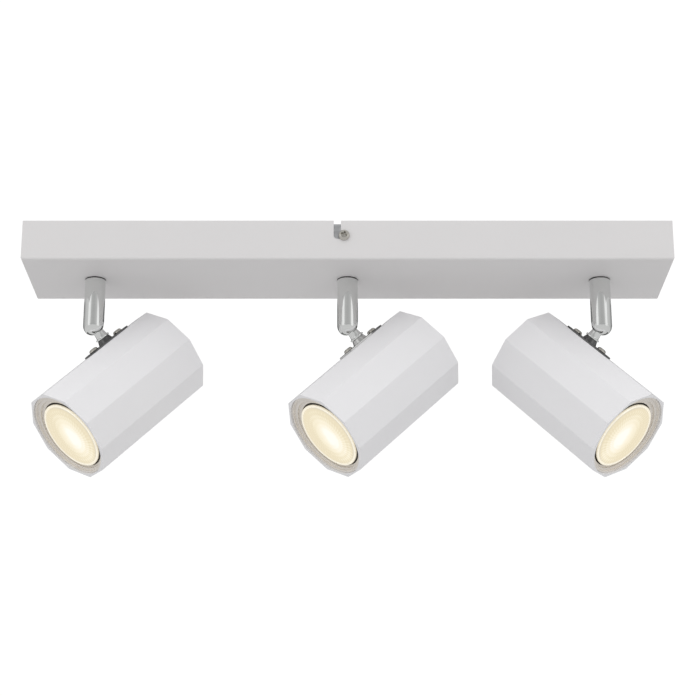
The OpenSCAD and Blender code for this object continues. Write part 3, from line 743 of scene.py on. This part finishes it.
def bar_screws():
    """Two cover screws that face the front and the back, and two under the bracket that face down."""
    parts = []
    for side in (-1, 1):
        spot = move(COVER_SCREW_X, side * BAR_W / 2, COVER_SCREW_Z)
        parts.append((pan_screw(M4, 3.7, *M4_HEAD), spot @ turn(-side * 90, "X") @ turn(20 * side, "Z")))
    for length, spot in (
        (BRACKET_T + TAG_T, move(*EARTH_SPOT, -BRACKET_T - TAG_T)),
        (BRACKET_T + LUG_T, move(LUG_X, 0, -BRACKET_T - LUG_T)),
    ):
        parts.append((pan_screw(M4, length, *M4_HEAD), spot @ turn(180, "X")))
    screws = soften(gathered("cover_screws", parts), 0.08, 2, 50)
    finish_piece(screws, BAR, "bar", "screw_steel", NICKEL, "bracket_screws")


def bar_fittings():
    for name, node, width, slot, surface in (
        ("bracket", "ceiling_bracket", 0.2, "zinc_steel", ZINC),
        ("washers", "swivel_washers", 0.12, "black_nylon", BLACK_NYLON),
        ("connector_block", "terminal_block", 0.3, "white_nylon", WHITE_NYLON),
        ("connector_clamps", "terminal_clamps", 0.12, "brass", BRASS),
    ):
        finish_piece(soft_copy(name, node, BAR, width), BAR, "bar", slot, surface, node)
    for name, node, slot, surface in (
        ("live_leads", "live_wires", "brown_lead", BROWN_LEAD),
        ("neutral_leads", "neutral_wires", "blue_lead", BLUE_LEAD),
        ("earth_lead", "earth_wires", "earth_lead", EARTH_LEAD),
    ):
        finish_piece(smooth_wire(name, node, BAR), BAR, "bar", slot, surface, node)


# ---- Stems ----

STEM_R = 7.25
SOCKET_R = 6.25
STEM_TOP = 33.6
MOUTH_R = 4.45


def arc(radius, start, end, steps=24):
    """Points (radius, height) of an arc round the origin, from one angle above level to another."""
    angles = [math.radians(start + (end - start) * k / steps) for k in range(steps + 1)]
    return [(max(radius * math.cos(a), 0), radius * math.sin(a)) for a in angles]


def mouth_cutter():
    """Room that the neck sweeps: a round hole below, a slot up one side and a half-round at its top."""
    reach = STEM_R + 1
    made = bmesh.new()

    def loop(points):
        return [made.verts.new(point) for point in points]

    steps = 32
    angles = [math.pi * k / steps for k in range(steps + 1)]
    half = [(MOUTH_R * math.cos(a), MOUTH_R * math.sin(a)) for a in angles]
    back_top = loop([(-up, across, 0) for across, up in half])
    back_low = loop([(-up, across, -reach) for across, up in half])
    top_in = [back_top[0]] + loop([(0, across, up) for across, up in half[1:-1]]) + [back_top[-1]]
    top_out = loop([(reach, across, up) for across, up in half])
    low_out = loop([(reach, MOUTH_R, -reach), (reach, -MOUTH_R, -reach)])
    for near, far in ((back_top, back_low), (top_in, top_out)):
        for k in range(steps):
            made.faces.new([near[k], near[k + 1], far[k + 1], far[k]])
    made.faces.new(back_top)
    made.faces.new(top_in)
    made.faces.new(top_out + [low_out[1], low_out[0]])
    made.faces.new(back_low + [low_out[1], low_out[0]])
    made.faces.new([back_top[0], top_out[0], low_out[0], back_low[0]])
    made.faces.new([back_top[-1], top_out[-1], low_out[1], back_low[-1]])
    bmesh.ops.recalc_face_normals(made, faces=made.faces)
    return from_bmesh("mouth", made)


def stem(i):
    outer = [(0, -STEM_R)] + arc(STEM_R, -90, 0)[1:] + [(STEM_R, 10), (STEM_R, 20), (STEM_R, STEM_TOP)]
    inner = [(SOCKET_R, STEM_TOP), (SOCKET_R, 10)] + arc(SOCKET_R, 0, -90)[:-1] + [(0, -SOCKET_R)]
    tube = lathe(f"tube_{i}", outer + inner, 128)
    cut(tube, [mouth_cutter()])
    soften(tube, 0.12, 2, 35)
    finish_piece(tube, STEM[i], f"stem_{i}", "chrome", CHROME, f"stem_{i}")


def nipple(i):
    """Plug that fits the stem, with a thread above it and a bore for the leads."""
    low, high = extent(f"stem_nipple_{i}", STEM[i])
    bore_r, plug_r, thread_r, root_r, pitch = 3, 6.2, 5, 4.6, 1.0
    outline = [(bore_r, low.z), (plug_r, low.z), (plug_r, STEM_TOP), (thread_r, STEM_TOP)]
    top = STEM_TOP + 1
    while top + pitch < high.z - 0.5:
        outline += [(thread_r, top), (root_r, top + 0.5 * pitch), (thread_r, top + 0.9 * pitch)]
        top += pitch
    outline += [(thread_r, high.z - 0.5), (root_r, high.z), (bore_r, high.z)]
    made = lathe(f"nipple_{i}", outline, 64)
    finish_piece(made, STEM[i], f"stem_{i}", "zinc_steel", ZINC, f"stem_nipple_{i}")


def nut(i):
    low, high = extent(f"stem_nut_{i}", STEM[i])
    made = hex_nut(14, high.z - low.z, 10)
    made.name = f"nut_{i}"
    made.data.transform(move(z=low.z))
    finish_piece(soften(made, 0.1, 2, 30), STEM[i], f"stem_{i}", "zinc_steel", ZINC, f"stem_nut_{i}")


# ---- Necks ----

BALL_R = 6.2
NECK_R = 3.6
NECK_BORE_R = 2.3
COLLAR_Z = -10.8
COLLAR_R = 5.25
STUD_R = 3.5
RIVET_R = 4.8


def neck(i):
    """Ball, neck, collar and hollow stud, with the stud's end riveted over."""
    low, high = extent(f"swivel_ball_{i}", NECK[i])
    top_angle = math.degrees(math.acos(4.2 / BALL_R))
    foot_angle = -math.degrees(math.acos(NECK_R / BALL_R))
    ball = arc(BALL_R, foot_angle, top_angle, 40)
    below = [
        (NECK_BORE_R, low.z), (4.2, low.z), (RIVET_R, low.z + 0.3), (RIVET_R, low.z + 1),
        (STUD_R, low.z + 1), (STUD_R, COLLAR_Z), (COLLAR_R - 0.2, COLLAR_Z), (COLLAR_R, COLLAR_Z + 0.2),
        (COLLAR_R, COLLAR_Z + 0.95), (COLLAR_R - 0.25, COLLAR_Z + 1.2), (4.35, COLLAR_Z + 1.2),
        (4.15, COLLAR_Z + 1.5), (3.9, -7.5), (NECK_R, ball[0][1] - 0.3),
    ]
    bore = [(4.1, BALL_R - 1.8), (NECK_BORE_R, BALL_R - 3.5)]
    made = lathe(f"ball_neck_{i}", below + ball + bore, 96)
    finish_piece(made, NECK[i], f"neck_{i}", "chrome", CHROME, f"swivel_ball_{i}")


# ---- Lamp heads ----

SHELL = {"Sides": 10, "Fillet steps": 6, "Bore steps": 180, "Across flats": 65.5, "Bore": 63.0,
         "Length": 104.0, "Edge radius": 1.2, "Start": -34.5}
VENTS = {"Count": 12, "Radius": 17.0, "Length": 12.0, "Width": 2.4, "Depth": 4.0}

# Distance down the neck, from the ball, of the shell's axis, its facet and the plate's near face
AXIS_Z = 48.05
FACET_Z = 15.3
PLATE_Z = 14.1
# Radius of the pressed pieces that fit the shell's bore
SEAT_R = 31.45
# Each screw: diameter and length of the shank, then of the head
PLATE_SCREW = (3.5, 5.4, 6.7, 2.1)
PLATE_SCREW_STEP = 24.2
HOLDER_SCREW = (3, 17.2, 5.4, 1.8)
HOLDER_SCREW_STEP = 19
HOLDER_SCREW_SINK = 3


def block_of(tree, outline, height):
    """Block that stands on a flat outline, closed at both ends."""
    foot = tree.node("GeometryNodeFillCurve", {"mode": "NGONS"}, {"Curve": outline})
    wall = tree.node("GeometryNodeExtrudeMesh", {"mode": "FACES"}, {
        "Mesh": foot, "Offset": (0, 0, 1), "Offset Scale": height, "Individual": False})
    closed = tree.node("GeometryNodeJoinGeometry", {},
                       {0: [wall, tree.node("GeometryNodeFlipFaces", {}, {0: foot})]})
    return tree.node("GeometryNodeMergeByDistance", {}, {0: closed, "Distance": 0.001})


def shell_blank(name):
    """Ten-sided tube along Z with its long edges rounded."""
    group, tree, given = geometry_tree(name, SHELL)
    half_angle = math.pi / given["Sides"]
    corner_r = 0.5 * given["Across flats"] / tree.math("COSINE", half_angle)
    ring = tree.node("GeometryNodeCurvePrimitiveCircle", {},
                     {"Resolution": given["Sides"], "Radius": corner_r})
    turned = tree.node("GeometryNodeTransform", {}, {"Geometry": ring, "Rotation": tree.vector(Z=half_angle)})
    fillet = tree.node("GeometryNodeFilletCurve", {"mode": "POLY"},
                       {"Curve": turned, "Count": given["Fillet steps"], "Radius": given["Edge radius"]})
    bore = tree.node("GeometryNodeCurvePrimitiveCircle", {},
                     {"Resolution": given["Bore steps"], "Radius": 0.5 * given["Bore"]})
    both = tree.node("GeometryNodeJoinGeometry", {}, {0: [fillet, bore]})
    tube = block_of(tree, both, given["Length"])
    placed = tree.node("GeometryNodeTransform", {},
                       {"Geometry": tube, "Translation": tree.vector(Z=given["Start"])})
    close_tree(group, tree, placed, WHITE_SHELL)
    return grow(new_object(name, bpy.data.meshes.new(name)), group, SHELL)


def shell(i):
    """Shell with a hole for the neck's stud and two for the plate screws."""
    tube = shell_blank(f"shell_{i}")
    place = SHELL_PLACE[i].inverted() @ NECK[i]
    drills = [rod(8, -AXIS_Z, 1 - FACET_Z, place, 48)]
    for side in (-1, 1):
        spot = place @ move(x=side * PLATE_SCREW_STEP / 2)
        drills.append(rod(3.8, -AXIS_Z, 1 - FACET_Z, spot, 32))
    cut(tube, drills)
    soften(tube, 0.3, 3, 30)
    finish_piece(tube, SHELL_PLACE[i], f"head_{i}", "white_aluminium", WHITE_SHELL, f"head_shell_{i}")


def cap(i):
    """Pressed rear cap with its ring of vents."""
    low, high = extent(f"rear_cap_{i}", SHELL_PLACE[i])
    inner_r, floor_z = SEAT_R - 1, low.z + 1
    outline = rounded([
        (0, low.z), (SEAT_R, low.z), (SEAT_R, high.z), (inner_r, high.z), (inner_r, floor_z), (0, floor_z),
    ], 1.2)
    dish = cut(lathe(f"cap_{i}", outline, 128), [vent_slots(low.z)])
    soften(dish, 0.12, 2, 40)
    finish_piece(dish, SHELL_PLACE[i], f"head_{i}", "white_steel", WHITE_STEEL, f"rear_cap_{i}")


def vent_slots(z):
    """Ring of round-ended slots for the rear cap, as one cutter."""
    group, tree, given = geometry_tree("vents", VENTS)
    outline = tree.node("GeometryNodeCurvePrimitiveQuadrilateral", {},
                        {"Width": given["Length"], "Height": given["Width"]})
    outline = tree.node("GeometryNodeFilletCurve", {"mode": "POLY"},
                        {"Curve": outline, "Count": 8, "Radius": 0.499 * given["Width"]})
    ring = tree.node("GeometryNodeCurvePrimitiveCircle", {},
                     {"Resolution": given["Count"], "Radius": given["Radius"]})
    spots = tree.node("GeometryNodeCurveToPoints", {"mode": "EVALUATED"}, {"Curve": ring})
    index = tree.node("GeometryNodeInputIndex", {}, {})
    turned = tree.vector(Z=2 * math.pi * index / given["Count"])
    copies = tree.node("GeometryNodeInstanceOnPoints", {}, {
        "Points": spots, "Instance": block_of(tree, outline, given["Depth"]), "Rotation": turned})
    close_tree(group, tree, copies, WHITE_STEEL)
    made = grow(new_object("vents", bpy.data.meshes.new("vents")), group, VENTS)
    made.data.transform(move(z=z - 2))
    return made


def plate(i):
    made = soft_copy(f"plate_{i}", f"mounting_plate_{i}", NECK[i], 0.22)
    finish_piece(made, NECK[i], f"head_{i}", "chrome", PAINTED_REFLECTION_DISC, f"mounting_plate_{i}")


def head_screws(i):
    """Two screws that hold the plate, and two in the lamp holder."""
    outer = pair(f"plate_row_{i}", pan_screw(*PLATE_SCREW), NICKEL, step_x=PLATE_SCREW_STEP, seed=i)
    inner = pair(f"holder_row_{i}", pan_screw(*HOLDER_SCREW), NICKEL, step_x=HOLDER_SCREW_STEP, seed=10 + i)
    seat = NECK[i].inverted() @ LAMP[i] @ move(z=HOLDER_FRONT - HOLDER_SCREW_SINK)
    screws = gathered(f"plate_screws_{i}", [(outer, move(z=-PLATE_Z)), (inner, seat)])
    soften(screws, 0.07, 2, 50)
    finish_piece(screws, NECK[i], f"head_{i}", "screw_steel", NICKEL, f"head_screws_{i}")


def trim_ring(i):
    """Stepped ring, each step nearer to the lamp's axis, which stands off the shell's."""
    low, high = extent(f"trim_ring_{i}", SHELL_PLACE[i])
    lip_r, step_r, inner_r = 29.95, 27.925, 25.9
    top, step_z, inner_z = high.z, high.z - 1.5, high.z - 3
    half, full = -0.5 * LAMP_SHIFT, -LAMP_SHIFT
    outline = [
        (SEAT_R, low.z, 0), (SEAT_R, top, 0), (lip_r, top, 0), (lip_r, step_z, 0), (step_r, step_z, half),
        (step_r, inner_z, half), (inner_r, inner_z, full), (inner_r, inner_z - 1, full),
        (step_r + 1, inner_z - 1, half), (step_r + 1, step_z - 1, half), (SEAT_R - 1, step_z - 1, 0),
        (SEAT_R - 1, low.z, 0),
    ]
    made = lathe(f"ring_{i}", rounded(outline, 0.35, 4), 160)
    finish_piece(made, SHELL_PLACE[i], f"head_{i}", "trim_steel", TRIM, f"trim_ring_{i}")


def head_fittings(i):
    for name, node, width, slot, surface in (
        ("strap", "holder_bracket", 0.15, "zinc_steel", ZINC),
        ("holder", "lamp_holder", 0.15, "ceramic", CLAY),
    ):
        made = soft_copy(f"{name}_{i}", f"{node}_{i}", LAMP[i], width)
        finish_piece(made, LAMP[i], f"head_{i}", slot, surface, f"{node}_{i}")
    leads = smooth_wire(f"sleeved_leads_{i}", f"head_wires_{i}", LAMP[i])
    finish_piece(leads, LAMP[i], f"head_{i}", "heat_sleeve", SLEEVE, f"head_wires_{i}")


# ---- Lamps ----

LAMP_R = 25
LENS_R = 23.35
LENS_DOME = 0.8
LENS_T = 2.2
GLASS_T = 1.6
PIN_R = 1.6
PIN_HEAD_R = 2.5
PIN_L = 7
PIN_HEAD_L = 3.7
PIN_PITCH = 10


def chart(obj, name, spread):
    """UV map that a function gives from each vertex's place."""
    layer = obj.data.uv_layers.new(name=name)
    for loop in obj.data.loops:
        layer.data[loop.index].uv = spread(obj.data.vertices[loop.vertex_index].co)


def bowl(i):
    """Pressed glass bowl with its base and a rim round the front glass."""
    def bowl_r(u):
        return 10.5 + 13.5 * u ** 0.6

    z = LAMP_BASE_Z
    lens_seat = FACE_Z - LENS_DOME - LENS_T - 0.05
    floor = z + 11 + GLASS_T
    steps = [k / 24 for k in range(25)]
    outside = [(bowl_r(u), z + 11 + 32.5 * u) for u in steps]
    inside = [(bowl_r(u) - GLASS_T, floor + (lens_seat - floor) * u) for u in reversed(steps)]
    base = [(0, z), (11.5, z), (12, z + 0.5), (12, z + 8.5), (11.5, z + 9), (10.5, z + 9.2)]
    rim = [
        (LAMP_R - 0.4, z + 43.5), (LAMP_R, z + 43.9), (LAMP_R, FACE_Z - 1.2), (LAMP_R - 0.4, FACE_Z - 0.8),
        (23.7, FACE_Z - 0.8), (23.4, FACE_Z - 1.1), (23.4, lens_seat),
    ]
    glass = lathe(f"bowl_{i}", base + outside + rim + inside + [(0, floor)], 128)
    chart(glass, "wall", lambda spot: (math.hypot(spot.x, spot.y) / LAMP_R, spot.z / FACE_Z))
    finish_piece(glass, LAMP[i], f"lamp_{i}", "lamp_glass", MIRROR, f"lamp_reflector_{i}")


def front_glass(i):
    """Slightly domed front glass. Its UV map runs back to the neck and to the front of the bar."""
    outline = [(LENS_R * u, -LENS_DOME * u * u) for u in (k / 16 for k in range(16))]
    outline += [
        (LENS_R - 0.3, -LENS_DOME), (LENS_R, -LENS_DOME - 0.3),
        (LENS_R, -LENS_DOME - LENS_T), (0, -LENS_DOME - LENS_T),
    ]
    glass = lathe(f"front_glass_{i}", outline, 128)
    front = -math.copysign(LENS_R, LAMP[i].col[1].y)
    chart(glass, "face", lambda spot: (spot.x / LENS_R, spot.y / front))
    glass.data.transform(move(z=FACE_Z))
    finish_piece(glass, LAMP[i], f"lamp_{i}", "lamp_face", LIT_GLASS, f"lamp_lens_{i}")


def pins(i):
    """Two turn-to-lock pins with their heads."""
    head_z, end_z = LAMP_BASE_Z - PIN_L + PIN_HEAD_L, LAMP_BASE_Z - PIN_L
    head = rounded([(0, head_z), (PIN_HEAD_R, head_z), (PIN_HEAD_R, end_z), (0, end_z)], 0.5)[1:]
    outline = [(0, LAMP_BASE_Z), (PIN_R, LAMP_BASE_Z), (PIN_R, head_z)] + head
    made = pair(f"pins_{i}", lathe(f"pins_{i}", outline, 48), NICKEL, step_y=PIN_PITCH, seed=i)
    finish_piece(smooth(made), LAMP[i], f"lamp_{i}", "screw_steel", NICKEL, f"lamp_pins_{i}")


# ---- The whole fixture ----

add_camera()
add_studio()
bar_cover()
bar_fittings()
bar_screws()
for i in HEADS:
    for build in (stem, nipple, nut, neck, shell, cap, plate, head_screws, trim_ring, head_fittings, bowl,
                  front_glass, pins):
        build(i)
    for node, surface in ((f"pressure_cup_{i}", WHITE_NYLON), (f"joint_spring_{i}", SPRING_STEEL)):
        frame["nodes"][node].data.materials.clear()
        frame["nodes"][node].data.materials.append(surface)
